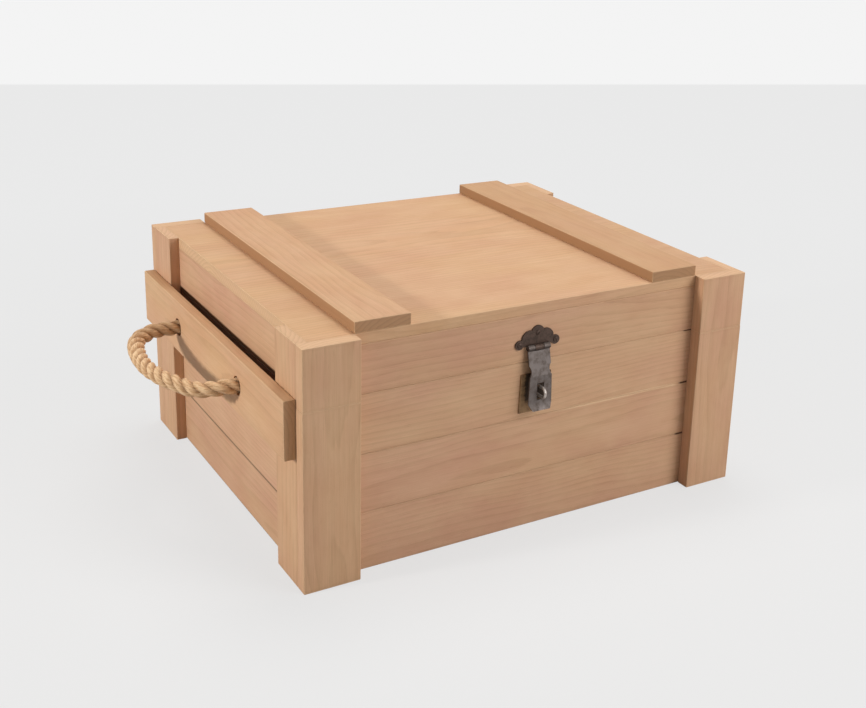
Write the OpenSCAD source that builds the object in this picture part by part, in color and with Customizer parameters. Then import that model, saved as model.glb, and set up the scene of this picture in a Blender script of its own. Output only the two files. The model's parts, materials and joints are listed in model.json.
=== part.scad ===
// Lidded wooden chuck box with corner posts, rope handles and a front hasp.
// Millimetres. X runs left to right, Y front to back, Z up. The origin is the
// middle of the underside.

/* [Box] */
// Width over the corner posts, left to right
box_w = 400; // [360:1:460]
// Depth over the corner posts, front to back
box_d = 340; // [310:1:400]
// Height of one of the three courses of body boards
course_h = 47.5; // [44:0.5:60]
// Height of the lid, from the split to the tops of its posts
lid_h = 47.5; // [40:0.5:70]

/* [Boards] */
// Thickness of the wall boards
wall_t = 10; // [9:0.5:14]
// Thickness of the bottom panel
bottom_t = 9; // [6:0.5:14]
// Thickness of the lid's top panel
top_t = 9; // [6:0.5:14]
// Radius that eases the long edges of every board
ease_r = 0.8; // [0.4:0.1:2.5]

/* [Corner posts] */
// Width of the posts on the front and back faces
face_post_w = 45; // [42:1:60]
// Thickness of the posts on the front and back faces
face_post_t = 12; // [11:0.5:18]
// Width of the posts on the side faces
side_post_w = 38; // [30:1:50]
// Thickness of the posts on the side faces
side_post_t = 9; // [6:0.5:14]

/* [Lid battens] */
// Width of the two battens on the lid
batten_w = 45; // [30:1:60]
// Thickness of the two battens on the lid
batten_t = 9; // [6:0.5:14]

/* [Handle boards] */
// Height of the board that carries each rope
handle_board_h = 46; // [40:1:60]
// Thickness of the board that carries each rope
handle_board_t = 9; // [7:0.5:14]
// How far its upper edge stands above the split
handle_lip = 6.5; // [2:0.5:10]
// Step from the front of the box to its front end
handle_front_step = 12; // [4:1:24]
// Step from the back of the box to its back end
handle_back_step = 4; // [2:1:24]

/* [Rope] */
// Diameter of the rope
rope_d = 12; // [8:0.5:13]
// Room round the rope in its holes, on the radius
rope_play = 1.5; // [0.6:0.1:2]
// Diameter of the knots inside
knot_d = 31; // [26:1:34]
// Length of the knots inside
knot_l = 28; // [20:1:36]
// Loose tail of rope past each knot
tail_l = 12; // [6:1:24]

/* [Hinges] */
// Width of each hinge, along its pin
hinge_w = 36; // [28:1:40]
// Height of each leaf, from the pin
hinge_leaf_h = 19; // [16:1:28]
// Thickness of the leaves
leaf_t = 1.2; // [0.8:0.1:1.6]
// Diameter of the knuckles
hinge_knuckle_d = 5.2; // [4.6:0.1:6.5]
// Diameter of the hinge pins
hinge_pin_d = 2.5; // [1.8:0.1:3]

/* [Hasp] */
// Width of the strap
strap_w = 20; // [18:0.5:24]
// Width of the strap at its waist
strap_waist_w = 16.5; // [14:0.5:18]
// Length of the strap below its pin
strap_l = 50; // [46:1:56]
// Thickness of the strap and of both plates
hasp_t = 1.2; // [0.8:0.1:1.4]
// Height of the strap's pin above the split
hasp_pin_up = 12; // [10:0.5:14]
// Diameter of the strap's knuckles
hasp_knuckle_d = 4.8; // [4.4:0.1:5.4]
// Diameter of the strap's pin
hasp_pin_d = 2; // [1.6:0.1:2.4]
// Height of the lower plate
lower_plate_h = 32; // [28:1:36]
// Width of the lower plate at its top
lower_plate_top_w = 27.5; // [24:0.5:30]
// Width of the lower plate at its foot
lower_plate_foot_w = 29.5; // [27:0.5:34]
// Wire diameter of the staple
staple_wire_d = 2.4; // [2:0.1:3]
// Distance between the middles of the staple's legs
staple_pitch = 7.8; // [7.4:0.1:8.2]
// How far the staple stands out of the wall
staple_reach = 16; // [15.5:0.5:17]

/* [Screws] */
// Diameter of the screws' shanks
screw_d = 2.2; // [1.8:0.1:2.4]
// Diameter of the screws' heads
screw_head_d = 4.2; // [3.6:0.1:4.6]
// Height of the screws' heads
screw_head_h = 1; // [0.6:0.1:1.4]
// Length of the shanks in the wood
screw_bite = 7; // [5:0.5:8]

/* [Clearances] */
// Running clearance of a pin in its knuckle, on the radius
pin_play = 0.05; // [0.02:0.01:0.1]
// Gap between pieces that pass each other
pass_gap = 0.3; // [0.2:0.05:0.6]
// Clearance of a screw in its hole, on the radius
screw_play = 0.05; // [0.03:0.01:0.1]

/* [Hidden] */
$fn = 48;

courses = 3;
body_h = courses * course_h;
box_h = body_h + lid_h;
// Outer faces of the walls, which the posts stand proud of
wall_x = box_w / 2 - side_post_t;
wall_y = box_d / 2 - face_post_t;
// Inner faces of the walls
room_x = wall_x - wall_t;
room_y = wall_y - wall_t;

pine = "#c8a07c";
pine_top = "#deb28c";
pine_post = "#b98f69";
jute = "#c79a63";
bronze = "#4a3a30";
steel = "#77726f";

// Outline of an eased a by b rectangle with one corner at the origin
ease_step = 30;
function eased(a, b, r) = [
    for (c = [[a - r, b - r, 0], [r, b - r, 90], [r, r, 180], [a - r, r, 270]],
         t = [0:ease_step:90])
        [c[0] + r * cos(c[2] + t), c[1] + r * sin(c[2] + t)]
];

// Boards from one corner to the opposite one, with the grain along X, Y or Z
module board_x(from, to) {
    size = to - from;
    translate(from) rotate([90, 0, 90])
        linear_extrude(size.x) polygon(eased(size.y, size.z, ease_r));
}
module board_y(from, to) {
    size = to - from;
    translate([from.x, to.y, from.z]) rotate([90, 0, 0])
        linear_extrude(size.y) polygon(eased(size.x, size.z, ease_r));
}
module board_z(from, to) {
    size = to - from;
    translate(from) linear_extrude(size.z) polygon(eased(size.x, size.y, ease_r));
}

// Turns a piece drawn at the front left into its right or back twin
module at_corner(right, back) {
    if (right) mirror([1, 0, 0]) at_corner(false, back) children();
    else if (back) mirror([0, 1, 0]) children();
    else children();
}

// Walls
module front_board(z0, z1) {
    board_x([-wall_x, -wall_y, z0], [wall_x, -room_y, z1]);
}
module side_board(z0, z1) {
    board_y([-wall_x, -room_y, z0], [-room_x, room_y, z1]);
}
module course_front(n, back) {
    color(pine) difference() {
        at_corner(false, back) front_board(n * course_h, (n + 1) * course_h);
        hasp_body_pilots();
    }
}
module course_side(n, right) {
    color(pine) at_corner(right, false) side_board(n * course_h, (n + 1) * course_h);
}
module course_side_drilled(right) {
    color(pine) at_corner(right, false) difference() {
        side_board((courses - 1) * course_h, courses * course_h);
        rope_holes();
    }
}
module bottom_panel() {
    color(pine) board_x([-room_x, -room_y, 0], [room_x, room_y, bottom_t]);
}

// Posts: the ones on the front and back faces cover the edges of the others
module face_post(z0, z1, inset, right, back) {
    color(pine_post) difference() {
        at_corner(right, back)
            board_z([-box_w / 2 + inset, -box_d / 2, z0], [-box_w / 2 + face_post_w, -wall_y, z1]);
        hinge_pilots();
    }
}
module side_post(z0, z1, inset, right, back) {
    color(pine_post) at_corner(right, back)
        board_z([-box_w / 2 + inset, -wall_y, z0], [-wall_x, -wall_y + side_post_w, z1]);
}

// Lid
module lid_top_panel() {
    color(pine_top) board_x([-wall_x, -wall_y, box_h - top_t], [wall_x, wall_y, box_h]);
}
module lid_front(back) {
    color(pine) difference() {
        at_corner(false, back) front_board(body_h, box_h - top_t);
        hasp_lid_pilots();
    }
}
module lid_side(right) {
    color(pine) at_corner(right, false) side_board(body_h, box_h - top_t);
}
module lid_batten(right) {
    x0 = -box_w / 2 + face_post_w;
    color(pine_top) at_corner(right, false)
        board_y([x0, -wall_y, box_h], [x0 + batten_w, wall_y, box_h + batten_t]);
}

// Handle boards and ropes, drawn on the left side
handle_x = -box_w / 2 - handle_board_t;
handle_z1 = body_h + handle_lip;
rope_z = handle_z1 - handle_board_h / 2;
rope_r = rope_d / 2;
// Route of the left rope's middle line from its back hole to its front one:
// place along Y, reach out of the handle board and height above the holes
rope_route = [
    [74, 14, 0], [73, 22, 0], [70, 29, -1], [64, 36, -1], [55, 41, -2], [44, 44, -2],
    [31, 46, -3], [18, 47, -3], [4, 47, -3], [-9, 45, -3], [-22, 42, -3], [-34, 37, -3],
    [-45, 31, -4], [-55, 24, -3], [-62, 16, -1], [-65, 10, 0]
];
rope_ends_y = [74, -66];
// The loop turns about the line through the middles of its round ends
loop_pivot_out = rope_r + pass_gap + 0.1;
stub_out = 0.1;

module rope_holes() {
    for (y = rope_ends_y)
        translate([handle_x - 1, y, rope_z]) rotate([0, 90, 0])
            cylinder(h = -handle_x, r = rope_r + rope_play);
}
module handle_board(right) {
    color(pine) at_corner(right, false) difference() {
        board_y([handle_x, -box_d / 2 + handle_front_step, handle_z1 - handle_board_h],
            [-box_w / 2, box_d / 2 - handle_back_step, handle_z1]);
        rope_holes();
    }
}

// Through the handle board and the wall to a round knot that pulls against the wall
module rope_knots(right) {
    wall_in = -room_x - handle_x;
    knot_0 = wall_in + pass_gap;
    knot_1 = knot_0 + knot_l;
    knot_r = knot_d / 2;
    bulge = [for (t = [0:18:180])
        [rope_r + (knot_r - rope_r) * sin(t), knot_0 + knot_l * (1 - cos(t)) / 2]];
    color(jute) at_corner(right, false) for (y = rope_ends_y)
        translate([handle_x, y, rope_z]) rotate([0, 90, 0]) rotate_extrude()
            polygon(concat([[0, -stub_out], [rope_r, -stub_out]], bulge,
                [[rope_r, knot_1 + tail_l], [0, knot_1 + tail_l]]));
}

// Rings of the free loop, each a middle, a direction and a radius
function place(p) = [handle_x - p[1], p[0], rope_z + p[2]];
function unit(v) = v / norm(v);
end_turns = [75, 55, 30];
end_points = [for (y = rope_ends_y) place([y, loop_pivot_out, 0])];
loop_points = concat([end_points[0]], [for (p = rope_route) place(p)], [end_points[1]]);
function along(i) = i == 0 || i == len(loop_points) - 1
    ? [i == 0 ? -1 : 1, 0, 0]
    : unit(loop_points[i + 1] - loop_points[i - 1]);
loop_rings = concat(
    [for (t = end_turns) [end_points[0] + [rope_r * sin(t), 0, 0], along(0), rope_r * cos(t)]],
    [for (i = [0:len(loop_points) - 1]) [loop_points[i], along(i), rope_r]],
    [for (k = [len(end_turns) - 1:-1:0])
        [end_points[1] + [rope_r * sin(end_turns[k]), 0, 0], along(len(loop_points) - 1),
            rope_r * cos(end_turns[k])]]);
loop_sides = 10;
function ring(c, d, r) = [
    for (k = [0:loop_sides - 1])
        let (side = unit(cross([0, 0, 1], d)), up = cross(d, side), a = 360 * k / loop_sides)
            c + r * (side * cos(a) + up * sin(a))
];
module rope_loop(right) {
    n = loop_sides;
    m = len(loop_rings);
    walls = [for (i = [0:m - 2], k = [0:n - 1], half = [0, 1])
        let (a = i * n + k, b = i * n + (k + 1) % n)
            half == 0 ? [a, a + n, b] : [b, a + n, b + n]];
    color(jute) at_corner(right, false) polyhedron(
        points = [for (q = loop_rings) each ring(q[0], q[1], q[2])],
        faces = concat([[for (k = [0:n - 1]) k]], walls, [[for (k = [n - 1:-1:0]) (m - 1) * n + k]]));
}

// Screws: the head lies on a plate of thickness t whose back is the plane y = 0
module screw(t) {
    rotate([90, 0, 0]) {
        translate([0, 0, t]) cylinder(h = screw_head_h, d1 = screw_head_d, d2 = screw_head_d * 0.55);
        translate([0, 0, -screw_bite]) cylinder(h = screw_bite + t, d = screw_d);
    }
}
module screw_hole() {
    rotate([90, 0, 0])
        translate([0, 0, -screw_bite - 1]) cylinder(h = 2 * screw_bite, r = screw_d / 2 + screw_play);
}

// Hinges on the backs of the back posts, drawn about the pin with X along it
hinge_pin_back = hinge_knuckle_d / 2 + 0.15;
hinge_x = box_w / 2 - face_post_w / 2;
hinge_y = box_d / 2 + hinge_pin_back;
knuckle_w = hinge_w / 3;
hinge_screw_x = hinge_w / 3;
hinge_screw_z = hinge_leaf_h * 0.6;

module along_x(from, to, r) {
    translate([from, 0, 0]) rotate([0, 90, 0]) cylinder(h = to - from, r = r);
}
module hinge_leaf(lid) {
    up = lid ? 1 : -1;
    own = lid ? [[-knuckle_w / 2, knuckle_w / 2]]
        : [[-hinge_w / 2, -knuckle_w / 2 - pass_gap], [knuckle_w / 2 + pass_gap, hinge_w / 2]];
    other = lid ? [[-hinge_w / 2 - 1, -knuckle_w / 2], [knuckle_w / 2, hinge_w / 2 + 1]]
        : [[-knuckle_w / 2 - pass_gap, knuckle_w / 2 + pass_gap]];
    difference() {
        union() {
            translate([-hinge_w / 2, -hinge_pin_back, lid ? 0 : -hinge_leaf_h])
                cube([hinge_w, leaf_t, hinge_leaf_h]);
            for (k = own) along_x(k[0], k[1], hinge_knuckle_d / 2);
        }
        for (k = other) along_x(k[0], k[1], hinge_knuckle_d / 2 + pass_gap);
        along_x(-hinge_w, hinge_w, hinge_pin_d / 2 + pin_play);
        for (x = [-hinge_screw_x, hinge_screw_x])
            translate([x, -hinge_pin_back, up * hinge_screw_z]) rotate([0, 0, 180]) screw_hole();
    }
}
module hinge_leaf_at(right, lid) {
    color(steel) translate([right ? hinge_x : -hinge_x, hinge_y, body_h]) hinge_leaf(lid);
}
module hinge_pins() {
    color(steel) for (x = [-hinge_x, hinge_x])
        translate([x, hinge_y, body_h]) along_x(-hinge_w / 2, hinge_w / 2, hinge_pin_d / 2);
}
module hinge_screw_places(up) {
    for (x = [-hinge_x, hinge_x], s = [-hinge_screw_x, hinge_screw_x])
        translate([x + s, box_d / 2, body_h + up * hinge_screw_z]) rotate([0, 0, 180]) children();
}
module hinge_pilots() {
    for (up = [-1, 1]) hinge_screw_places(up) screw_hole();
}
module hinge_screws(up) {
    color(steel) hinge_screw_places(up) screw(leaf_t);
}

// Hasp, drawn about the strap's pin with the front wall behind it
hasp_pin_out = hasp_knuckle_d / 2 + 0.2;
hasp_y = -wall_y - hasp_pin_out;
hasp_z = body_h + hasp_pin_up;
finger_w = strap_w * 0.4;
ear_w = (strap_w - finger_w) / 2 + pass_gap;
strap_out = hasp_knuckle_d / 2 - 1.4;
strap_step = 4.5;
step_top = strap_l * 0.06;
step_foot = strap_l * 0.44;
lip_top = strap_l * 0.9;
lip_reach = 3;
foot_w = strap_w * 1.07;
tip_w = strap_w * 0.8;
waist_r = 6;
waist_at = strap_l * 0.36;
slot_w = staple_wire_d + 3.8;
slot_h = staple_pitch + staple_wire_d + 4;
staple_z = hasp_z - strap_l * 0.704;
lower_plate_z = hasp_z - strap_l - 4.2;
lobe_r = [3.8, 3.8, 6];
lobe_places = [[-16.5, 3], [16.5, 3], [0, 11.2]];
shoulder_r = 7;
shoulder_x = 7.5;
shoulder_z = 6.8;
crown_foot = 1;

module hasp_frame() {
    translate([0, hasp_y, hasp_z]) children();
}
module strap_front() {
    difference() {
        polygon([
            [-strap_w / 2, hasp_knuckle_d], [strap_w / 2, hasp_knuckle_d],
            [strap_w / 2, -step_foot], [foot_w / 2, -lip_top], [tip_w / 2, -strap_l],
            [-tip_w / 2, -strap_l], [-foot_w / 2, -lip_top], [-strap_w / 2, -step_foot]]);
        for (s = [-1, 1])
            translate([s * (strap_waist_w / 2 + waist_r), -waist_at]) circle(waist_r);
        translate([-slot_w / 2, staple_z - hasp_z - slot_h / 2]) square([slot_w, slot_h]);
    }
}
module strap_side() {
    front = -strap_out;
    back = front + hasp_t;
    polygon([
        [back, 0], [back, -step_top], [back - strap_step, -step_foot],
        [back - strap_step, -lip_top], [back - strap_step - lip_reach, -strap_l],
        [front - strap_step - lip_reach, -strap_l], [front - strap_step, -lip_top],
        [front - strap_step, -step_foot], [front, -step_top], [front, 0]]);
}
module hasp_strap() {
    color(steel) hasp_frame() difference() {
        union() {
            intersection() {
                rotate([90, 0, 0]) translate([0, 0, -strap_l])
                    linear_extrude(2 * strap_l) strap_front();
                translate([-foot_w / 2, 0, 0]) rotate([90, 0, 90])
                    linear_extrude(foot_w) strap_side();
            }
            along_x(-strap_w / 2, strap_w / 2, hasp_knuckle_d / 2);
        }
        along_x(-finger_w / 2 - pass_gap, finger_w / 2 + pass_gap, hasp_knuckle_d / 2 + pass_gap);
        along_x(-strap_w, strap_w, hasp_pin_d / 2 + pin_play);
    }
}
module hasp_upper_plate() {
    color(bronze) hasp_frame() difference() {
        union() {
            translate([0, hasp_pin_out, 0]) rotate([90, 0, 0]) linear_extrude(hasp_t) union() {
                translate([lobe_places[0].x, crown_foot])
                    square([lobe_places[1].x - lobe_places[0].x, shoulder_z - crown_foot]);
                for (i = [0:2]) translate(lobe_places[i]) circle(lobe_r[i]);
                difference() {
                    for (s = [-1, 1]) translate([s * shoulder_x, shoulder_z]) circle(shoulder_r);
                    translate([-strap_w, -shoulder_r]) square([2 * strap_w, shoulder_r + crown_foot]);
                }
            }
            along_x(-finger_w / 2, finger_w / 2, hasp_knuckle_d / 2);
            translate([-finger_w / 2, hasp_pin_out - hasp_t, 0]) cube([finger_w, hasp_t, crown_foot + 1]);
        }
        for (s = [-1, 1])
            translate([s * (finger_w + strap_w + 2 * pass_gap) / 4, 0, 0])
                along_x(-ear_w / 2, ear_w / 2, hasp_knuckle_d / 2 + pass_gap);
        along_x(-strap_w, strap_w, hasp_pin_d / 2 + pin_play);
        hasp_lid_screw_places() screw_hole();
    }
}
module hasp_pin() {
    color(steel) hasp_frame() along_x(-strap_w / 2, strap_w / 2, hasp_pin_d / 2);
}
module hasp_lid_screw_places() {
    for (p = lobe_places) translate([p.x, hasp_pin_out, p.y]) children();
}
module hasp_lid_pilots() {
    hasp_frame() hasp_lid_screw_places() screw_hole();
}
module hasp_lid_screws() {
    color(bronze) hasp_frame() hasp_lid_screw_places() screw(hasp_t);
}

// Lower plate and staple on the body
lower_screw_z = [4.2, lower_plate_h - 4.2];
module hasp_body_screw_places() {
    for (z = lower_screw_z) translate([0, -wall_y, lower_plate_z + z]) children();
}
module hasp_body_pilots() {
    hasp_body_screw_places() screw_hole();
}
module hasp_body_screws() {
    color(bronze) hasp_body_screw_places() screw(hasp_t);
}
module hasp_lower_plate() {
    color(bronze) difference() {
        translate([0, -wall_y, lower_plate_z]) rotate([90, 0, 0]) linear_extrude(hasp_t) polygon([
            [-lower_plate_foot_w / 2, 0], [lower_plate_foot_w / 2, 0],
            [lower_plate_top_w / 2, lower_plate_h], [-lower_plate_top_w / 2, lower_plate_h]]);
        hasp_body_screw_places() screw_hole();
        for (s = [-1, 1])
            translate([0, -wall_y + 1, staple_z + s * staple_pitch / 2]) rotate([90, 0, 0])
                cylinder(h = hasp_t + 2, r = staple_wire_d / 2 + screw_play);
    }
}
module hasp_staple() {
    leg = staple_reach - staple_pitch / 2 - staple_wire_d / 2;
    color(steel) translate([0, -wall_y, staple_z]) {
        for (s = [-1, 1])
            translate([0, 0, s * staple_pitch / 2]) rotate([90, 0, 0]) cylinder(h = leg, d = staple_wire_d);
        translate([0, -leg, 0]) rotate([0, -90, 0]) rotate([0, 0, 180])
            rotate_extrude(angle = 180) translate([staple_pitch / 2, 0]) circle(d = staple_wire_d);
    }
}

bottom_panel();
course_front(0, false);  // front_board_lower
course_front(1, false);  // front_board_middle
course_front(2, false);  // front_board_upper
course_front(0, true);  // back_board_lower
course_front(1, true);  // back_board_middle
course_front(2, true);  // back_board_upper
course_side(0, false);  // left_board_lower
course_side(1, false);  // left_board_middle
course_side_drilled(false);  // left_board_upper
course_side(0, true);  // right_board_lower
course_side(1, true);  // right_board_middle
course_side_drilled(true);  // right_board_upper
face_post(0, body_h, 0, false, false);  // front_left_post
face_post(0, body_h, 0, true, false);  // front_right_post
face_post(0, body_h, 0, false, true);  // back_left_post
face_post(0, body_h, 0, true, true);  // back_right_post
side_post(0, body_h, 0, false, false);  // left_front_post
side_post(0, body_h, 0, false, true);  // left_back_post
side_post(0, body_h, 0, true, false);  // right_front_post
side_post(0, body_h, 0, true, true);  // right_back_post
handle_board(false);  // left_handle_board
handle_board(true);  // right_handle_board
rope_knots(false);  // left_rope_knots
rope_knots(true);  // right_rope_knots
rope_loop(false);  // left_rope_loop
rope_loop(true);  // right_rope_loop
lid_top_panel();
lid_front(false);  // lid_front_board
lid_front(true);  // lid_back_board
lid_side(false);  // lid_left_board
lid_side(true);  // lid_right_board
face_post(body_h, box_h, pass_gap, false, false);  // lid_front_left_post
face_post(body_h, box_h, pass_gap, true, false);  // lid_front_right_post
face_post(body_h, box_h, pass_gap, false, true);  // lid_back_left_post
face_post(body_h, box_h, pass_gap, true, true);  // lid_back_right_post
side_post(body_h, box_h, pass_gap, false, false);  // lid_left_front_post
side_post(body_h, box_h, pass_gap, false, true);  // lid_left_back_post
side_post(body_h, box_h, pass_gap, true, false);  // lid_right_front_post
side_post(body_h, box_h, pass_gap, true, true);  // lid_right_back_post
lid_batten(false);  // lid_left_batten
lid_batten(true);  // lid_right_batten
hinge_leaf_at(false, false);  // hinge_left_body_leaf
hinge_leaf_at(true, false);  // hinge_right_body_leaf
hinge_leaf_at(false, true);  // hinge_left_lid_leaf
hinge_leaf_at(true, true);  // hinge_right_lid_leaf
hinge_pins();
hinge_screws(-1);  // hinge_body_screws
hinge_screws(1);  // hinge_lid_screws
hasp_upper_plate();
hasp_pin();
hasp_strap();
hasp_lower_plate();
hasp_staple();
hasp_lid_screws();
hasp_body_screws();
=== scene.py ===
import json
import math
import random

import bmesh
import bpy
import numpy as np
from mathutils import Matrix, Vector


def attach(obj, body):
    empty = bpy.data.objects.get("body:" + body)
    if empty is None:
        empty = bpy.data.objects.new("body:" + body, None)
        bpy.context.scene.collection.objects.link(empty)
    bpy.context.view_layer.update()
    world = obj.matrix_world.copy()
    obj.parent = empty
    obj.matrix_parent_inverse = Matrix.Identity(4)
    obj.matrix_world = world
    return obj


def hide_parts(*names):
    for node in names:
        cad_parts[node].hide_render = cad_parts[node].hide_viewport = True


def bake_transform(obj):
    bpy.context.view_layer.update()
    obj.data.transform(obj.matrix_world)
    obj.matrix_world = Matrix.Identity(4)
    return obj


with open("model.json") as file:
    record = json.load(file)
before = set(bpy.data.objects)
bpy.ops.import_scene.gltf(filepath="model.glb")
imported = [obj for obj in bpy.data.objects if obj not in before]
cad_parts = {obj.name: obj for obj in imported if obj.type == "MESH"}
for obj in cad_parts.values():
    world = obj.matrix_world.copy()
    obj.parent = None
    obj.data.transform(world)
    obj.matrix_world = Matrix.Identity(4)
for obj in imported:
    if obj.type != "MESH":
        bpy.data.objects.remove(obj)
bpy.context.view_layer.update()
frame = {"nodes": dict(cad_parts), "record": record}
NODES = frame["nodes"]
MM = 0.001

# ---------------------------------------------------------------- camera
# Solved from the photograph: the place it looks from, its roll and its framing.
CAMERA_AZ, CAMERA_EL, CAMERA_ROLL = math.radians(-32.60), math.radians(17.42), math.radians(2.31)
CAMERA_FAR, CAMERA_RIGHT, CAMERA_UP = 1.1241, 0.06532, 0.07851
AIM_HEIGHT, SENSOR_MM = 0.095, 36
FOCAL_PX, CENTRE_X, CENTRE_Y = 1264.3, 510.4, 261.6
PHOTO_W, PHOTO_H = 866, 708
TONE_LINE = 84.5  # the photograph's row where its backdrop changes tone


def make_camera():
    """Make the camera, and return the two floor points under the ends of the backdrop's tone line."""
    flat = math.cos(CAMERA_EL)
    back = Vector((math.sin(CAMERA_AZ) * flat, -math.cos(CAMERA_AZ) * flat, math.sin(CAMERA_EL)))
    level = Vector((math.cos(CAMERA_AZ), math.sin(CAMERA_AZ), 0))
    rise = back.cross(level)
    right = math.cos(CAMERA_ROLL) * level + math.sin(CAMERA_ROLL) * rise
    up = -math.sin(CAMERA_ROLL) * level + math.cos(CAMERA_ROLL) * rise
    place = Vector((0, 0, AIM_HEIGHT)) + back * CAMERA_FAR + right * CAMERA_RIGHT + up * CAMERA_UP
    data = bpy.data.cameras.new("camera")
    data.sensor_width = SENSOR_MM
    data.lens = FOCAL_PX * SENSOR_MM / PHOTO_W
    data.shift_x = (PHOTO_W / 2 - CENTRE_X) / PHOTO_W
    data.shift_y = (CENTRE_Y - PHOTO_H / 2) / PHOTO_W
    camera = bpy.data.objects.new("camera", data)
    camera.matrix_world = Matrix((right, up, back)).transposed().to_4x4()
    camera.location = place
    bpy.context.scene.collection.objects.link(camera)
    bpy.context.scene.camera = camera
    ends = []
    for u in (0, PHOTO_W):
        ray = right * (u - CENTRE_X) / FOCAL_PX + up * (CENTRE_Y - TONE_LINE) / FOCAL_PX - back
        ends.append(place - ray * place.z / ray.z)
    return ends


tone_line = make_camera()


# ---------------------------------------------------------------- shader graphs
class Graph:
    """A material's node tree, written as nested calls."""

    def __init__(self, name):
        self.material = bpy.data.materials.new(name)
        self.material.use_nodes = True
        self.tree = self.material.node_tree
        self.tree.nodes.clear()
        self.out = self.tree.nodes.new("ShaderNodeOutputMaterial")

    def put(self, socket, value):
        if isinstance(value, bpy.types.NodeSocket):
            self.tree.links.new(value, socket)
        elif value is not None:
            if hasattr(socket.default_value, "__len__") and not hasattr(value, "__len__"):
                value = [value] * len(socket.default_value)
            if hasattr(value, "__len__") and len(socket.default_value) == 4 and len(value) == 3:
                value = (*value, 1)
            socket.default_value = value

    def node(self, kind, inputs=(), **settings):
        n = self.tree.nodes.new("ShaderNode" + kind)
        for key, value in settings.items():
            setattr(n, key, value)
        for key, value in dict(inputs).items():
            self.put(n.inputs[key], value)
        return n

    def attribute(self, name, output="Vector"):
        return self.node("Attribute", attribute_name=name).outputs[output]

    def math(self, operation, a, b=None, clamp=False):
        n = self.node("Math", {0: a}, operation=operation, use_clamp=clamp)
        if b is not None:
            self.put(n.inputs[1], b)
        return n.outputs[0]

    def vector(self, operation, a, b=None, output="Vector"):
        n = self.node("VectorMath", {0: a}, operation=operation)
        if b is not None:
            self.put(n.inputs["Scale" if operation == "SCALE" else 1], b)
        return n.outputs[output]

    def product(self, first, *others):
        for value in others:
            first = self.math("MULTIPLY", first, value)
        return first

    def weighted(self, *pairs):
        """The sum of value times weight over the pairs."""
        value, weight = pairs[0]
        value = self.math("MULTIPLY", value, weight)
        return self.math("ADD", value, self.weighted(*pairs[1:])) if len(pairs) > 1 else value

    def stirred(self, value, noise, amount):
        """The value moved up and down by the noise, amount from end to end."""
        return self.math("ADD", value, self.math("MULTIPLY", self.math("SUBTRACT", noise, 0.5), amount))

    def absolute(self, value):
        return self.math("ABSOLUTE", value)

    def axes(self, vector):
        return self.node("SeparateXYZ", {0: vector}).outputs

    def place_mm(self):
        """The point on the object, in millimetres."""
        return self.vector("SCALE", self.node("TexCoord").outputs["Object"], 1000)

    def noise(self, vector, scale, detail=3.0, rough=0.5, output="Fac"):
        inputs = {"Vector": vector, "Scale": scale, "Detail": detail, "Roughness": rough}
        return self.node("TexNoise", inputs).outputs[output]

    def grain(self, at, along, across, detail=3.0, rough=0.5):
        """Noise stretched along the first axis; the two numbers are its cycles per millimetre."""
        return self.noise(self.vector("MULTIPLY", at, (along, across, across)), 1, detail, rough)

    def remap(self, value, low, high, to_low=0.0, to_high=1.0):
        inputs = {"Value": value, "From Min": low, "From Max": high, "To Min": to_low, "To Max": to_high}
        return self.node("MapRange", inputs).outputs[0]

    def mix(self, factor, a, b, blend="MIX"):
        n = self.node("Mix", data_type="RGBA", blend_type=blend)
        self.put(n.inputs[0], factor)
        self.put(n.inputs[6], a)
        self.put(n.inputs[7], b)
        return n.outputs[2]

    def bump(self, height, distance, strength=1.0, under=None):
        inputs = {"Height": height, "Distance": distance, "Strength": strength, "Normal": under}
        return self.node("Bump", inputs).outputs[0]

    def shade(self, **inputs):
        names = {k: k.replace("_", " ").title().replace("Ior", "IOR") for k in inputs}
        n = self.node("BsdfPrincipled", {names[k]: v for k, v in inputs.items()})
        self.tree.links.new(n.outputs[0], self.out.inputs[0])
        return self.material


def srgb(text):
    rgb = [int(text[i:i + 2], 16) / 255 for i in (0, 2, 4)]
    return [c / 12.92 if c <= 0.04045 else ((c + 0.055) / 1.055) ** 2.4 for c in rgb]


RING_MM = 3.4                       # from one year's ring to the next
RIGHT_POST = 150.0                  # where the front boards pass behind the right post
MIDDLE_JOINT = 95.0                 # height of the front boards' middle joint
GAP_X, GAP_Y, GAP_TOP = 190.8, 131.0, 147.2   # the painted shade behind the handle boards: its wall, its ends and its top
JOINT_DARK, GAP_SHADE, RING_DARK = (0.085, 0.040, 0.018), (0.070, 0.026, 0.009), (0.10, 0.05, 0.02)


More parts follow.
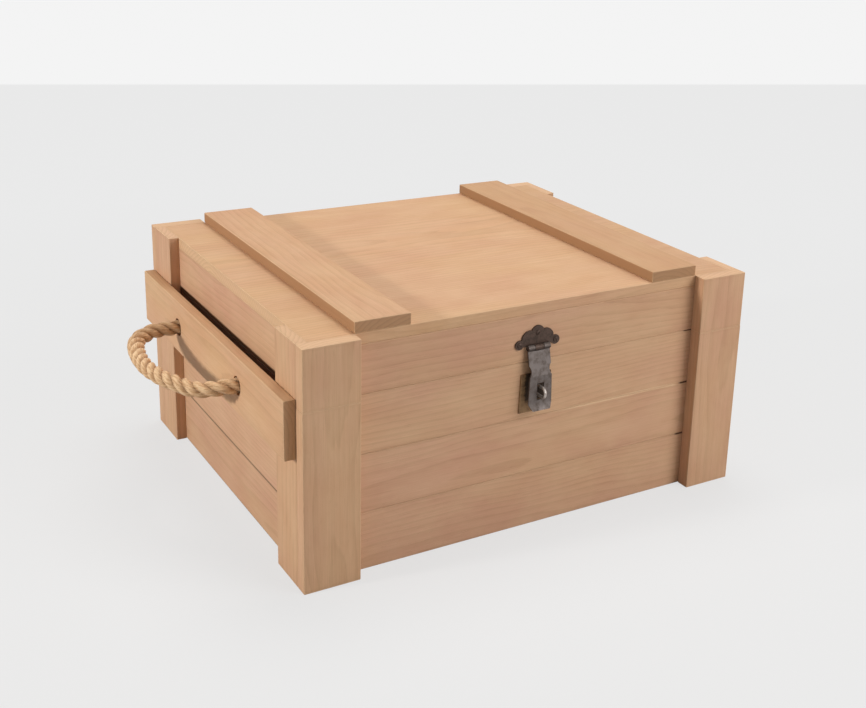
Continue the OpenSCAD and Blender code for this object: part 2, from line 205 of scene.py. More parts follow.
def wood_material(name, pale, dark, pink, straw):
    """Planed softwood. Each board carries its own grain coordinates in millimetres: x along the
    grain, y and z across it, from the middle of the tree."""
    g = Graph(name)
    at = g.attribute("grain")
    local, half, tone = g.attribute("local"), g.attribute("half"), g.attribute("tone", "Fac")
    # Rings, wandering along the board
    slow = g.vector("MULTIPLY", at, (0.0035, 0.011, 0.011))
    wander = g.vector("SUBTRACT", g.noise(slow, 1, 2, 0.5, "Color"), (0.5, 0.5, 0.5))
    across = g.vector("MULTIPLY", g.vector("ADD", at, g.vector("SCALE", wander, 22)), (0, 1, 1))
    radius = g.vector("LENGTH", across, output="Value")
    wobble = g.grain(at, 0.02, 0.25, 2)
    ring = g.math("FRACT", g.math("MULTIPLY", g.math("ADD", radius, g.math("MULTIPLY", wobble, 1.6)), 1 / RING_MM))
    late = g.math("MULTIPLY", g.math("POWER", ring, 3), g.remap(ring, 0.94, 1.0, 1.0, 0.0))
    # Fibres, short pores and broad blotches
    fibre = g.grain(at, 0.018, 1.1, 4, 0.65)
    hair = g.grain(at, 0.05, 3.4, 3, 0.6)
    pore = g.remap(g.grain(at, 0.11, 2.6, 2, 0.5), 0.64, 0.74)
    blotch = g.grain(at, 0.006, 0.014, 3, 0.55)
    cloud = g.grain(at, 0.02, 0.045, 3, 0.6)
    tint = g.mix(g.remap(blotch, 0.39, 0.61), pink, straw)
    face = g.mix(g.math("MULTIPLY", late, 0.30), tint, dark)
    face = g.mix(g.remap(cloud, 0.35, 0.7, 0.0, 0.30), face, pale)
    face = g.mix(g.remap(fibre, 0.3, 0.7, 0.20, 0.0), face, dark)
    face = g.mix(g.remap(hair, 0.35, 0.75, 0.0, 0.14), face, pale)
    face = g.mix(g.math("MULTIPLY", pore, 0.24), face, dark)
    # End grain shows where the surface faces along the grain, and sawn ends are darker where the board says so
    facing = g.node("TexCoord").outputs["Normal"]
    faced = g.vector("DOT_PRODUCT", facing, g.attribute("along"), output="Value")
    end = g.remap(g.absolute(faced), 0.55, 0.9)
    deep = g.mix(g.math("MULTIPLY", late, 0.7), dark, g.mix(0.5, dark, RING_DARK))
    plain = g.mix(g.math("MULTIPLY", late, 0.30), g.mix(0.42, tint, pale), dark)
    body = g.mix(end, face, g.mix(g.attribute("sawn", "Fac"), plain, deep))
    # The battens' upright faces are darker too
    upright = g.remap(g.absolute(g.axes(facing)[2]), 0.5, 0.3)
    body = g.mix(g.product(upright, g.math("SUBTRACT", 1.0, end), g.attribute("edge", "Fac")), body, dark)
    # Distance to the nearest edge of the board: worn pale at the very edge, partly standing for a painted edge
    # highlight, slightly soiled beside it
    x, y, z = g.axes(g.vector("SUBTRACT", half, g.vector("ABSOLUTE", local)))
    near = g.math("MAXIMUM", g.math("MINIMUM", x, y), g.math("MINIMUM", g.math("MAXIMUM", x, y), z))
    body = g.mix(g.remap(g.stirred(near, cloud, 1.6), 0.2, 3.2, 0.12, 0.0), body, dark)
    body = g.mix(g.remap(g.stirred(near, fibre, 1.4), 0.0, 0.9, 0.45, 0.0), body, pale)
    body = g.mix(g.absolute(tone), body, g.mix(g.math("GREATER_THAN", tone, 0), dark, pale))
    # Dark joints between the side boards, and short dark ends of the front joints by the right post
    px, py, pz = g.axes(g.place_mm())
    front = g.attribute("ticks", "Fac")
    ends = g.math("MULTIPLY", g.remap(px, RIGHT_POST - 4, RIGHT_POST - 1), front)
    joint = g.math("MAXIMUM", ends, g.attribute("soil", "Fac"))
    joint = g.math("MULTIPLY", g.remap(near, 0.45, 1.15, 1.0, 0.0), joint)
    body = g.mix(joint, body, JOINT_DARK)
    # Painted highlight along the middle joint of the front, on its right half
    joint_highlight = g.product(g.remap(px, 10.0, 45.0), g.remap(px, RIGHT_POST - 4, RIGHT_POST - 9),
                       g.remap(g.absolute(g.math("SUBTRACT", pz, MIDDLE_JOINT)), 1.5, 0.9))
    body = g.mix(g.product(joint_highlight, front, g.remap(cloud, 0.3, 0.6, 0.35, 0.8)), body, pale)
    # Painted shade in the narrow gap behind the handle boards
    within = g.math("MULTIPLY", g.remap(g.absolute(px), GAP_X - 0.5, GAP_X), g.remap(g.absolute(py), GAP_Y + 3, GAP_Y))
    depth = g.remap(g.stirred(pz, fibre, 1.6), GAP_TOP, GAP_TOP - 1.4)
    dirt_and_shade = g.math("MULTIPLY", within, g.math("MULTIPLY", depth, g.remap(pz, 104.0, 132.0)))
    body = g.mix(g.product(dirt_and_shade, g.attribute("gap", "Fac"), 0.90), body, GAP_SHADE)
    height = g.math("SUBTRACT", g.weighted((fibre, 0.55), (hair, 0.45), (late, 0.35)), g.math("MULTIPLY", pore, 0.5))
    return g.shade(base_color=body, roughness=g.remap(fibre, 0.3, 0.7, 0.74, 0.60), specular_ior_level=0.30,
                   normal=g.bump(height, 0.00022, 0.55))


KNUCKLE = 153.0                     # height on the strap above which it is the knuckle
STRAP_EDGE = -9.0                   # the lower plate right of here lies under the strap and its shade
KNUCKLE_SHADE, SHADE_DARK = (0.030, 0.018, 0.014), (0.014, 0.007, 0.004)


def metal_material(name, base, worn, dirt_and_shade, rough, metallic, scale, relief, knuckle=False, shaded=False):
    """Aged metal: a mottled finish, rubbed bright on raised parts, with dull patches in between.
    knuckle adds old grime on the strap's knuckle and painted shade along its underside, and shaded
    the dark part of the lower plate beside and under the strap, a painted shadow of the strap."""
    g = Graph(name)
    base, worn, dirt_and_shade = srgb(base), srgb(worn), srgb(dirt_and_shade)
    at = g.place_mm()
    patch = g.noise(at, scale * 0.30, 4, 0.6)
    speck = g.noise(at, scale * 2.2, 3, 0.6)
    fine = g.noise(g.vector("MULTIPLY", at, (1, 1, 0.25)), scale * 6, 2, 0.6)
    colour = g.mix(g.remap(patch, 0.42, 0.68), base, dirt_and_shade)
    colour = g.mix(g.remap(speck, 0.52, 0.74, 0.0, 0.40), colour, worn)
    colour = g.mix(g.remap(fine, 0.35, 0.8, 0.0, 0.18), colour, worn)
    px, _, pz = g.axes(at)
    if knuckle:
        above = g.math("ADD", pz, g.math("MULTIPLY", patch, 2.0))
        colour = g.mix(g.remap(above, KNUCKLE, KNUCKLE + 1.6, 0.0, 0.40), colour, dirt_and_shade)
        # Painted shade along the underside of the knuckle
        under = g.product(g.remap(pz, KNUCKLE - 1.2, KNUCKLE - 0.6), g.remap(pz, KNUCKLE + 1.4, KNUCKLE + 0.7), 0.75)
        colour = g.mix(under, colour, KNUCKLE_SHADE)
    if shaded:
        edge = g.remap(g.stirred(px, patch, 3.0), STRAP_EDGE - 1.6, STRAP_EDGE)
        colour = g.mix(g.product(edge, g.remap(pz, 107.0, 111.0), 0.88), colour, SHADE_DARK)
    height = g.weighted((patch, 0.5), (speck, 0.35), (fine, 0.15))
    dull = g.remap(patch, 0.35, 0.7, rough - 0.06, rough + 0.12)
    return g.shade(base_color=colour, metallic=metallic, roughness=dull, specular_ior_level=0.4,
                   normal=g.bump(height, relief, 0.6))


def rope_material(name, pale, mid, deep):
    """Laid plant fibre: 'yarn' holds how far along a strand and how far round it each point is."""
    g = Graph(name)
    at = g.attribute("yarn")
    crown = g.attribute("crown", "Fac")
    fibre = g.grain(at, 0.22, 1.0, 3, 0.65)
    hair = g.grain(at, 0.5, 3.2, 2, 0.6)
    patch = g.grain(at, 0.05, 0.05, 2, 0.5)
    # Painted shade in the grooves between the strands, lighter on each strand's outer side
    colour = g.mix(g.remap(crown, 0.38, 0.97), deep, mid)
    colour = g.mix(g.remap(fibre, 0.38, 0.68, 0.0, 0.85), colour, pale)
    colour = g.mix(g.remap(hair, 0.3, 0.55, 0.42, 0.0), colour, deep)
    colour = g.mix(g.remap(patch, 0.35, 0.65, 0.0, 0.25), colour, mid)
    # Painted highlight along the strands' crowns
    shine = g.math("MULTIPLY", g.remap(crown, 0.80, 1.0), g.remap(fibre, 0.40, 0.56, 0.0, 0.7))
    colour = g.mix(shine, colour, pale)
    # Darker towards its back end
    back = g.math("ADD", g.axes(g.place_mm())[1], g.math("MULTIPLY", hair, 8.0))
    colour = g.mix(g.remap(back, 42.0, 78.0, 0.0, 0.34), colour, deep)
    height = g.weighted((fibre, 0.6), (hair, 0.4))
    return g.shade(base_color=colour, roughness=0.82, specular_ior_level=0.2, sheen_weight=0.12, sheen_roughness=0.5,
                   normal=g.bump(height, 0.0004, 0.8))


PALE, DARK = srgb("e9c8a0"), srgb("a07550")
WOOD = {slot: wood_material(name, PALE, DARK, srgb(pink), srgb(straw)) for slot, name, pink, straw in (
    ("wall_boards", "wood_walls", "d4a285", "d5a884"),
    ("post_wood", "wood_posts", "d4a384", "d6a983"),
    ("lid_boards", "wood_lid", "d5a582", "d7aa80"),
    ("handle_wood", "wood_handles", "d5a37f", "d8ab7e"),
    ("bottom_board", "wood_bottom", "d4a685", "d6ac85"),
)}
# Finishes by material slot, then two nodes that differ from the rest of their slot
METAL = {
    "hasp_plates": metal_material("bronze", "4c3a31", "746052", "2d2119", 0.52, 0.45, 0.9, 0.0002),
    "hasp_steel": metal_material("old_steel", "69605c", "8a807a", "51453e", 0.54, 0.45, 0.7, 0.00012, knuckle=True),
    "hinge_metal": metal_material("hinge_bronze", "57483d", "877565", "35281f", 0.50, 0.5, 0.9, 0.0002),
    "hinge_screws": metal_material("screw_steel", "7d726b", "a59a92", "4a3f38", 0.46, 0.6, 1.2, 0.0001),
}
OWN_METAL = {
    "hasp_lower_plate": metal_material("worn_bronze", "9e7b56", "b0926c", "7a5c42", 0.55, 0.35, 0.8, 0.0002,
                                       shaded=True),
    "hasp_staple": metal_material("rubbed_steel", "c0b7b0", "ded8d3", "8a7f77", 0.36, 0.6, 0.9, 0.00008),
}
ROPE = rope_material("jute", srgb("fad8ac"), srgb("d7a87c"), srgb("7a5331"))


# ---------------------------------------------------------------- pieces from the CAD solids
def link(name, mesh):
    piece = bpy.data.objects.new(name, mesh)
    bpy.context.scene.collection.objects.link(piece)
    return piece


def clean_copy(node):
    """The CAD node's mesh with its vertices joined and its flat faces whole."""
    bm = bmesh.new()
    bm.from_mesh(NODES[node].data)
    bmesh.ops.remove_doubles(bm, verts=bm.verts, dist=1e-6)
    bmesh.ops.dissolve_limit(bm, angle_limit=math.radians(1.0), verts=bm.verts, edges=bm.edges)
    mesh = bpy.data.meshes.new(node + "_look")
    bm.to_mesh(mesh)
    bm.free()
    mesh.materials.clear()
    return mesh


def applied(piece):
    """The piece with its modifiers applied."""
    bpy.context.view_layer.update()
    mesh = bpy.data.meshes.new_from_object(piece.evaluated_get(bpy.context.evaluated_depsgraph_get()))
    piece.modifiers.clear()
    old, piece.data = piece.data, mesh
    bpy.data.meshes.remove(old)
    return piece


def soften(piece, width, segments, angle):
    bevel = piece.modifiers.new("edge", "BEVEL")
    bevel.width, bevel.segments = width, segments
    bevel.limit_method, bevel.angle_limit = "ANGLE", math.radians(angle)
    return applied(piece)


def smooth(piece, angle=38):
    mesh = piece.data
    mesh.polygons.foreach_set("use_smooth", [True] * len(mesh.polygons))
    mesh.set_sharp_from_angle(angle=math.radians(angle))
    weighted = piece.modifiers.new("normals", "WEIGHTED_NORMAL")
    weighted.keep_sharp = True
    return piece


def vectors(mesh, name, values):
    attribute = mesh.attributes.new(name, "FLOAT_VECTOR", "POINT")
    attribute.data.foreach_set("vector", np.asarray(values, np.float32).ravel())


def numbers(mesh, name, values):
    attribute = mesh.attributes.new(name, "FLOAT", "POINT")
    attribute.data.foreach_set("value", np.asarray(values, np.float32).ravel())


def points(mesh):
    co = np.zeros(len(mesh.vertices) * 3, np.float32)
    mesh.vertices.foreach_get("co", co)
    return co.reshape(-1, 3).astype(float)


def dress(piece, node):
    """Put the piece in the place of its CAD node."""
    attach(piece, BODY_OF[node])
    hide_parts(node)


AXES = {"X": (0, 1, 2), "Y": (1, 0, 2), "Z": (2, 0, 1)}
BODY_OF = {node: body for body, members in frame["record"]["behaviour"]["bodies"].items() for node in members}
SLOT_OF = {s["node"]: s["material_slot"] for s in frame["record"]["subparts"]}


SOIL = {"left": 0.62, "right": 0.62, "front": 0.10, "back": 0.10}
GAP_BOARDS = ("left_board_upper", "right_board_upper", "lid_left_board", "lid_right_board")
ROUNDED_MM, PLANED_MM = 0.5, 0.32   # the worn edges of battens and handle boards, and the others'
POST_MIDDLE = 95.0


def marks(node):
    """How strongly each of the wood's marks shows on this board."""
    wall = node.split("_board")[0] if "_board_" in node else None
    return {
        "sawn": 0.46 if "handle" in node else 0.68 if "batten" in node else 0.0,
        "soil": SOIL.get(wall, 0.0),
        "ticks": 1.0 if node.startswith("front_board") else 0.0,
        "edge": 0.80 if "batten" in node else 0.0,
        "gap": 1.0 if node in GAP_BOARDS else 0.0,
    }


def board(node, axis, seed, tone):
    """A board whose grain runs along axis, cut from its own place in a tree."""
    width = ROUNDED_MM if "batten" in node or "handle" in node else PLANED_MM
    piece = soften(link(node + "_look", clean_copy(node)), width * MM, 2, 50)
    mesh = piece.data
    draw = random.Random(seed)
    co = points(mesh) / MM
    low, high = co.min(0), co.max(0)
    middle, half = (low + high) / 2, (high - low) / 2
    order = AXES[axis]
    local = (co - middle)[:, order]
    pith = draw.uniform(28, 75), draw.uniform(-60, 60)
    thin = 1 if half[order[1]] < half[order[2]] else 2
    offset = np.zeros(3)
    offset[0] = draw.uniform(-4000, 4000)
    offset[thin], offset[3 - thin] = pith
    grain = local + offset
    if "post" in node:
        # Measured from the whole post's middle, so that the grain runs on through the lid's split
        grain[:, 0] = co[:, 2] - POST_MIDDLE + offset[0]
    vectors(mesh, "grain", grain)
    vectors(mesh, "local", local)
    vectors(mesh, "half", np.tile(half[list(order)], (len(co), 1)))
    vectors(mesh, "along", np.tile(np.eye(3)[order[0]], (len(co), 1)))
    numbers(mesh, "tone", np.full(len(co), tone))
    for name, strength in marks(node).items():
        numbers(mesh, name, np.full(len(co), strength))
    mesh.materials.append(WOOD[SLOT_OF[node]])
    smooth(piece)
    dress(piece, node)


def grain_axis(node):
    if "post" in node:
        return "Z"
    if "batten" in node or "handle_board" in node:
        return "Y"
    if node.split("_board")[0] in ("left", "right", "lid_left", "lid_right"):
        return "Y"
    return "X"


tones = random.Random(11)
OWN_TONE = {"lid_right_batten": -0.30, "lid_left_batten": -0.06}
trees = {}
for node in sorted(n for n in NODES if SLOT_OF[n] in WOOD):
    # The posts' short lengths on the lid were sawn off the same pieces
    tree = node.removeprefix("lid_") if "post" in node else node
    drawn = tones.uniform(-0.07, 0.07)
    seed, tone = trees.setdefault(tree, (100 + len(trees), OWN_TONE.get(node, drawn)))
    board(node, grain_axis(node), seed, tone)


def hardware(node):
    """A metal node with its edges slightly worn."""
    piece = soften(link(node + "_look", clean_copy(node)), 0.14 * MM, 2, 40)
    piece.data.materials.append(OWN_METAL.get(node, METAL[SLOT_OF[node]]))
    smooth(piece, 42)
    dress(piece, node)


for node in sorted(n for n in NODES if SLOT_OF[n] in METAL and "screws" not in n):
    hardware(node)


def islands(mesh):
    """The lowest and highest corners of each separate shell of a mesh."""
    bm = bmesh.new()
    bm.from_mesh(mesh)
    bmesh.ops.remove_doubles(bm, verts=bm.verts, dist=1e-6)
    left, boxes = set(bm.verts), []
    while left:
        todo, shell = [left.pop()], []
        while todo:
            vert = todo.pop()
            shell.append(vert.co.copy())
            for edge in vert.link_edges:
                other = edge.other_vert(vert)
                if other in left:
                    left.remove(other)
                    todo.append(other)
        boxes.append(tuple(Vector([pick(c[k] for c in shell) for k in range(3)]) for pick in (min, max)))
    bm.free()
    return sorted(boxes, key=lambda box: tuple(round(v, 5) for v in box[0]))


ROUND = 36                          # corners round a screw
HEAD_H, SHANK_R = 1.0 * MM, 1.1 * MM
LIP_H = 0.22 * MM
SLOT_W, SLOT_DEEP = 0.62 * MM, 1.15 * MM


def slotted_screw(head_r, long, turn):
    """A round-headed screw along +Z from its tip at 0, its slot sawn across the head."""
    bm = bmesh.new()
    rim = long - HEAD_H
    profile = [(SHANK_R * 0.25, 0.3 * MM), (SHANK_R, 2.0 * MM), (SHANK_R, rim), (head_r * 0.94, rim),
               (head_r, rim + 0.1 * MM), (head_r, rim + LIP_H)]
    for th in (math.pi / 2 * k / 9 for k in range(1, 9)):
        profile.append((head_r * math.cos(th), rim + LIP_H + (HEAD_H - LIP_H) * math.sin(th)))
    turns = np.linspace(0, 2 * math.pi, ROUND, endpoint=False)
    rings = [[bm.verts.new((radius * math.cos(a), radius * math.sin(a), height)) for a in turns]
             for radius, height in profile]
    tip, top = bm.verts.new((0, 0, 0)), bm.verts.new((0, 0, long))
    for j in range(ROUND):
        q = (j + 1) % ROUND
        bm.faces.new((tip, rings[0][q], rings[0][j]))
        bm.faces.new((top, rings[-1][j], rings[-1][q]))
        for low, high in zip(rings, rings[1:]):
            bm.faces.new((low[j], low[q], high[q], high[j]))
    mesh = bpy.data.meshes.new("screw")
    bm.to_mesh(mesh)
    bm.free()
    piece = link("screw_shape", mesh)
    blade_mesh = bpy.data.meshes.new("blade")
    bm = bmesh.new()
    size = Matrix.Diagonal((4 * head_r, SLOT_W, SLOT_DEEP, 1))
    bmesh.ops.create_cube(bm, size=1, matrix=Matrix.Translation((0, 0, long)) @ Matrix.Rotation(turn, 4, "Z") @ size)
    bm.to_mesh(blade_mesh)
    bm.free()
    blade = link("blade_shape", blade_mesh)
    cut = piece.modifiers.new("slot", "BOOLEAN")
    cut.operation, cut.object, cut.solver = "DIFFERENCE", blade, "EXACT"
    applied(piece)
    bpy.data.objects.remove(blade)
    soften(piece, 0.05 * MM, 1, 35)
    mesh = piece.data
    bpy.data.objects.remove(piece)
    return mesh


def screws(node, out):
    """The node's screws with real heads; out is the way their heads face along Y."""
    bm = bmesh.new()
    draw = random.Random(node)
    for low, high in islands(NODES[node].data):
        size = high - low
        shape = slotted_screw(size.x / 2, size.y, draw.uniform(0, math.pi))
        middle = (low + high) / 2
        tip = Matrix.Translation((middle.x, low.y if out > 0 else high.y, middle.z))
        shape.transform(tip @ Matrix.Rotation(-out * math.pi / 2, 4, "X"))
        bm.from_mesh(shape)
        bpy.data.meshes.remove(shape)
    mesh = bpy.data.meshes.new(node + "_look")
    bm.to_mesh(mesh)
    bm.free()
    piece = link(node + "_look", mesh)
    mesh.materials.append(METAL[SLOT_OF[node]])
    smooth(piece, 35)
    dress(piece, node)


for node in sorted(n for n in NODES if SLOT_OF[n] in METAL and "screws" in n):
    screws(node, 1 if "hinge" in node else -1)

# ---------------------------------------------------------------- ropes
ROPE_D, LAY = 12 * MM, 33 * MM
ROPE_Z = 126 * MM
BOARD_X, WALL_X = 209 * MM, 181 * MM
PIVOT_OUT = 6.4 * MM
ENDS_Y = (74 * MM, -66 * MM)
# The loop outside the board, in millimetres: along the board, out from it, and up from the holes
ROUTE = [
    (74, 14, 0), (73, 22, 0), (70, 29, -1), (64, 36, -1), (55, 41, -2), (44, 44, -2), (31, 46, -3), (18, 47, -3),
    (4, 47, -3), (-9, 45, -3), (-22, 42, -3), (-34, 37, -3), (-45, 31, -4), (-55, 24, -3), (-62, 16, -1),
    (-65, 10, 0),
]


def smooth_line(knots, step):
    """Points about step apart on a Catmull-Rom curve through the knots."""
    p = np.array([knots[0], *knots, knots[-1]], float)
    p[0], p[-1] = 2 * p[1] - p[2], 2 * p[-2] - p[-3]
    fine = []
    for i in range(1, len(p) - 2):
        a, b, c, d = p[i - 1:i + 3]
        for t in np.linspace(0, 1, 24, endpoint=False):
            square, cube = 2 * a - 5 * b + 4 * c - d, 3 * b - a - 3 * c + d
            fine.append(0.5 * (2 * b + (c - a) * t + square * t**2 + cube * t**3))
    fine = np.array([*fine, p[-2]])
    run = np.concatenate([[0], np.cumsum(np.linalg.norm(np.diff(fine, axis=0), axis=1))])
    at = np.linspace(0, run[-1], max(2, int(round(run[-1] / step)) + 1))
    return np.stack([np.interp(at, run, fine[:, k]) for k in range(3)], axis=1)


def along(line):
    d = np.gradient(line, axis=0)
    return d / np.linalg.norm(d, axis=1)[:, None]


def carried_frames(line):
    """Side and up directions that turn with the line and don't twist about it."""
    t = along(line)
    side = np.cross(t[0], (0.0, 0.0, 1.0))
    side /= np.linalg.norm(side)
    sides = []
    for i in range(len(line)):
        side = side - t[i] * (side @ t[i])
        side /= np.linalg.norm(side)
        sides.append(side)
    sides = np.array(sides)
    return t, sides, np.cross(t, sides)


SIDES, YARNS = 24, 5                # corners round a strand, and the yarns that ripple it
STRAND_OUT, STRAND_R = 0.242, 0.272  # a strand's middle and its radius, in rope diameters


def laid_rope(name, line, diameter, lay, full=None, spread=None, hairs=0, tuft=0, seed=5):
    """A three-strand rope laid round the line, each strand showing its own yarns. full swells the
    rope and spread parts its strands, point by point; hairs stand off it, and a tuft ends it."""
    run = np.concatenate([[0], np.cumsum(np.linalg.norm(np.diff(line, axis=0), axis=1))])
    full = np.ones(len(line)) if full is None else full
    spread = np.ones(len(line)) if spread is None else spread
    t, side, up = carried_frames(line)
    twist_lay = lay * 0.62
    verts, faces, yarn, crown = [], [], [], []
    draw = random.Random(seed)

    def ring(middle, a, b, radius, at, look):
        """One ring of corners. look is a shift of the yarns' pattern, and how bright a hair is,
        or None on a strand, which is painted bright on its outer side and dark on its inner side, towards the grooves."""
        for j in range(len(radius)):
            th = 2 * math.pi * j / len(radius)
            verts.append(middle + radius[j] * (a * math.cos(th) + b * math.sin(th)))
            twist = th + 2 * math.pi * at / twist_lay
            yarn.append((at / MM + look[0], 3.0 * math.cos(twist), 3.0 * math.sin(twist)))
            crown.append(0.5 + 0.5 * math.cos(th) if look[1] is None else look[1])

    def skin(first, count, around):
        for i in range(count - 1):
            for j in range(around):
                p, q = first + i * around + j, first + i * around + (j + 1) % around
                faces.append((p, q, q + around, p + around))
        faces.append([first + j for j in reversed(range(around))])
        faces.append([first + (count - 1) * around + j for j in range(around)])

    def hair(start, way, long, thick, bend, at, bright):
        way = way / np.linalg.norm(way)
        a = np.cross(way, (0.31, 0.52, 0.79))
        a /= np.linalg.norm(a)
        b = np.cross(way, a)
        first = len(verts)
        for i in range(5):
            f = i / 4
            middle = start + way * long * f + bend * long * f * f
            ring(middle, a, b, np.full(3, thick * (1 - 0.6 * f)), at, (0.0, bright))
        skin(first, 5, 3)

    for k in range(3):
        turn = 2 * math.pi * run / lay + 2 * math.pi * k / 3
        out = side * np.cos(turn)[:, None] + up * np.sin(turn)[:, None]
        middle = line + out * (STRAND_OUT * diameter * full * spread)[:, None]
        ts = along(middle)
        a = out - ts * (out * ts).sum(1)[:, None]
        a /= np.linalg.norm(a, axis=1)[:, None]
        b = np.cross(ts, a)
        first, shift = len(verts), draw.uniform(0, 900)
        th = 2 * math.pi * np.arange(SIDES) / SIDES
        for i in range(len(line)):
            ripple = 1 + 0.05 * np.cos(YARNS * (th + 2 * math.pi * run[i] / twist_lay))
            ring(middle[i], a[i], b[i], STRAND_R * diameter * full[i] * ripple, run[i], (shift, None))
        skin(first, len(line), SIDES)
        for _ in range(tuft):
            th, reach = draw.uniform(0, 2 * math.pi), math.sqrt(draw.uniform(0, 1)) * 0.22 * diameter * full[-1]
            off = a[-1] * math.cos(th) + b[-1] * math.sin(th)
            way = ts[-1] + off * draw.uniform(0.1, 0.5)
            hair(middle[-1] + off * reach - ts[-1] * 1.2 * MM, way, draw.uniform(3.5, 7.0) * MM, 0.17 * MM,
                 off * draw.uniform(-0.25, 0.3), run[-1], draw.uniform(0.5, 1.0))
    for _ in range(hairs):
        i, th = draw.randrange(3, len(line) - 3), draw.uniform(0, 2 * math.pi)
        off = side[i] * math.cos(th) + up[i] * math.sin(th)
        way = off * draw.uniform(0.1, 0.55) + t[i] * draw.choice((-1, 1))
        hair(line[i] + off * 0.44 * diameter * full[i], way, draw.uniform(2.0, 4.6) * MM, 0.055 * MM,
             off * draw.uniform(-0.1, 0.25), run[i], draw.uniform(0.6, 1.0))
    mesh = bpy.data.meshes.new(name)
    mesh.from_pydata([tuple(v) for v in verts], [], faces)
    mesh.update()
    vectors(mesh, "yarn", yarn)
    numbers(mesh, "crown", crown)
    mesh.materials.append(ROPE)
    piece = link(name, mesh)
    mesh.polygons.foreach_set("use_smooth", [True] * len(mesh.polygons))
    mesh.set_sharp_from_angle(angle=math.radians(60))
    return piece


# An overhand knot pulled tight, in rope diameters: x from the wall inwards.
KNOT = [
    (-1.72, 0.0, 0.0), (-1.20, 0.10, 0.0), (-0.70, 0.07, 0.06), (-0.31, -0.10, 0.34), (-0.01, -0.46, 0.51),
    (0.35, -0.79, 0.37), (0.71, -0.93, 0.03), (0.98, -0.84, -0.39), (1.11, -0.53, -0.77), (1.09, -0.07, -0.99),
    (0.91, 0.41, -0.99), (0.62, 0.77, -0.78), (0.30, 0.93, -0.42), (0.0, 0.94, 0.0), (-0.30, 0.93, 0.42),
    (-0.62, 0.77, 0.78), (-0.91, 0.41, 0.99), (-1.09, -0.07, 0.99), (-1.11, -0.53, 0.77), (-0.98, -0.84, 0.39),
    (-0.71, -0.93, -0.03), (-0.35, -0.79, -0.37), (0.01, -0.46, -0.51), (0.31, -0.10, -0.34), (0.70, 0.07, -0.06),
    (1.20, 0.10, 0.0), (1.72, 0.02, -0.05), (2.15, -0.05, -0.14),
]
KNOT_SIZE, KNOT_IN = 10.0 * MM, 15.2 * MM


def rope_knot(name, s, y, roll, seed):
    """A knot inside the wall with its frayed tail; roll turns it about the rope."""
    c, d = math.cos(roll), math.sin(roll)
    knots = [(s * (WALL_X - KNOT_IN - x * KNOT_SIZE), y + KNOT_SIZE * (u * c - v * d),
              ROPE_Z + KNOT_SIZE * (u * d + v * c)) for x, u, v in KNOT]
    line = smooth_line(knots, 0.9 * MM)
    at = np.linspace(0, 1, len(line))
    spread = 1 + 0.75 * np.clip((at - 0.965) / 0.035, 0, 1) ** 1.5
    return laid_rope(name, line, KNOT_SIZE * 1.04, 29 * MM, spread=spread, hairs=34, tuft=34, seed=seed)


def rope_handle(side):
    """The rope from wall to wall, through both holes of its board, with a knot inside at each end."""
    s = -1 if side == "left" else 1
    back, front = ENDS_Y
    knots = [(WALL_X + 2 * MM, back, 0), (WALL_X + 10 * MM, back, 0), (BOARD_X - 4 * MM, back, 0),
             (BOARD_X + PIVOT_OUT, back, 0)]
    knots += [(BOARD_X + out * MM, y * MM, z * MM) for y, out, z in ROUTE]
    knots += [(BOARD_X + PIVOT_OUT - 3 * MM, front, 0), (BOARD_X - 6 * MM, front, 0), (WALL_X + 10 * MM, front, 0),
              (WALL_X + 2 * MM, front, 0)]
    line = smooth_line([(s * x, y, ROPE_Z + z) for x, y, z in knots], 1.1 * MM)
    # Fuller where it hangs free, most of all at its tight bend
    outside = np.clip((np.abs(line[:, 0]) - BOARD_X - 6 * MM) / (18 * MM), 0, 1)
    bend = np.exp(-((line[:, 1] - 50 * MM) / (22 * MM)) ** 2)
    full = 1 + outside * (0.02 + 0.10 * bend)
    rope = laid_rope(side + "_rope", line, ROPE_D, LAY, full=full, hairs=190, seed=5 if s < 0 else 6)
    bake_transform(rope)
    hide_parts(side + "_rope_loop")
    ends = []
    for name, y, roll in (("back", back, 0.4), ("front", front, 2.3)):
        seed = len(ends) + (20 if s < 0 else 30)
        knot = rope_knot(f"{side}_{name}_knot", s, y, roll + (0.9 if s > 0 else 0), seed)
        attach(knot, "box")
        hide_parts(side + "_rope_knots")
        ends.append(knot)


for side in ("left", "right"):
    rope_handle(side)

# ---------------------------------------------------------------- floor and light
NEAR_TONE, FAR_TONE, BOUNCE_TONE = "eaeaea", "f5f5f5", "b4b4b4"


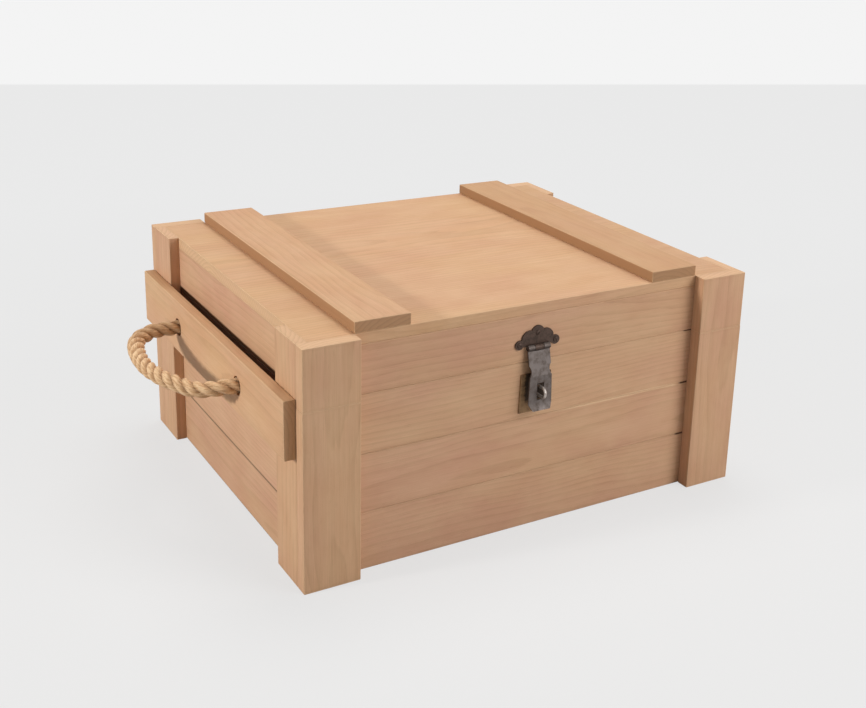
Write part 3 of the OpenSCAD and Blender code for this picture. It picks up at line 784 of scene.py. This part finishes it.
def make_stage():
    """A pale floor in two tones, which meet along a line on the floor behind the object."""
    mesh = bpy.data.meshes.new("floor")
    mesh.from_pydata([(-30, -30, 0), (30, -30, 0), (30, 30, 0), (-30, 30, 0)], [], [(0, 1, 2, 3)])
    floor = link("floor", mesh)
    g = Graph("floor")
    ray = g.node("LightPath").outputs
    mirrored = g.math("MAXIMUM", ray["Is Glossy Ray"], ray["Is Transmission Ray"])
    seen = g.math("MAXIMUM", ray["Is Camera Ray"], mirrored)
    start, end = tone_line
    way = (end - start).normalized()
    at = g.node("TexCoord").outputs["Object"]
    beyond = g.vector("DOT_PRODUCT", g.vector("SUBTRACT", at, tuple(start)), (-way.y, way.x, 0), output="Value")
    tone = g.mix(g.remap(beyond, -0.012, 0.012), srgb(NEAR_TONE), srgb(FAR_TONE))
    # What it gives back to the object is greyer than what is seen
    diffuse = g.node("BsdfDiffuse", {"Color": g.mix(seen, srgb(BOUNCE_TONE), tone)}).outputs[0]
    flat = g.node("Emission", {"Color": tone, "Strength": 1.0}).outputs[0]
    # Near the object some of the floor's own light and shade is kept, for the shadow
    share = g.remap(g.vector("LENGTH", at, output="Value"), 0.30, 0.95, 0.80, 0.985)
    both = g.node("MixShader", {0: g.math("MULTIPLY", seen, share), 1: diffuse, 2: flat})
    g.tree.links.new(both.outputs[0], g.out.inputs[0])
    mesh.materials.append(g.material)


def make_world():
    """A soft even light, behind a pale backdrop that only cameras and reflections see."""
    world = bpy.data.worlds.new("world")
    bpy.context.scene.world = world
    world.use_nodes = True
    tree = world.node_tree
    tree.nodes.clear()
    out, mix = tree.nodes.new("ShaderNodeOutputWorld"), tree.nodes.new("ShaderNodeMixShader")
    lit, seen, path = (tree.nodes.new("ShaderNode" + k) for k in ("Background", "Background", "LightPath"))
    lit.inputs[0].default_value = (1.0, 0.985, 0.95, 1)
    lit.inputs[1].default_value = 0.20
    seen.inputs[0].default_value = (*srgb(FAR_TONE), 1)
    seen.inputs[1].default_value = 1.0
    found = path.outputs["Is Camera Ray"]
    for name in ("Is Glossy Ray", "Is Transmission Ray"):
        either = tree.nodes.new("ShaderNodeMath")
        either.operation = "MAXIMUM"
        tree.links.new(found, either.inputs[0])
        tree.links.new(path.outputs[name], either.inputs[1])
        found = either.outputs[0]
    tree.links.new(found, mix.inputs[0])
    tree.links.new(lit.outputs[0], mix.inputs[1])
    tree.links.new(seen.outputs[0], mix.inputs[2])
    tree.links.new(mix.outputs[0], out.inputs[0])


def area_light(name, place, target, size, power, colour):
    data = bpy.data.lights.new(name, "AREA")
    data.shape, data.size, data.energy, data.color = "DISK", size, power, colour
    lamp = bpy.data.objects.new(name, data)
    lamp.location = place
    lamp.rotation_euler = (Vector(target) - Vector(place)).to_track_quat("-Z", "Y").to_euler()
    bpy.context.scene.collection.objects.link(lamp)


make_stage()
make_world()
area_light("top", (0.35, 0.35, 1.9), (0, 0, 0.15), 1.2, 20, (1.0, 0.985, 0.965))
area_light("left", (-2.2, 0.12, 0.78), (0, 0, 0.12), 0.24, 27.6, (1.0, 0.98, 0.95))
area_light("front", (1.0, -1.45, 0.85), (0.05, 0, 0.1), 1.35, 19.4, (1.0, 0.985, 0.985))
bpy.context.scene.view_settings.view_transform = "Standard"
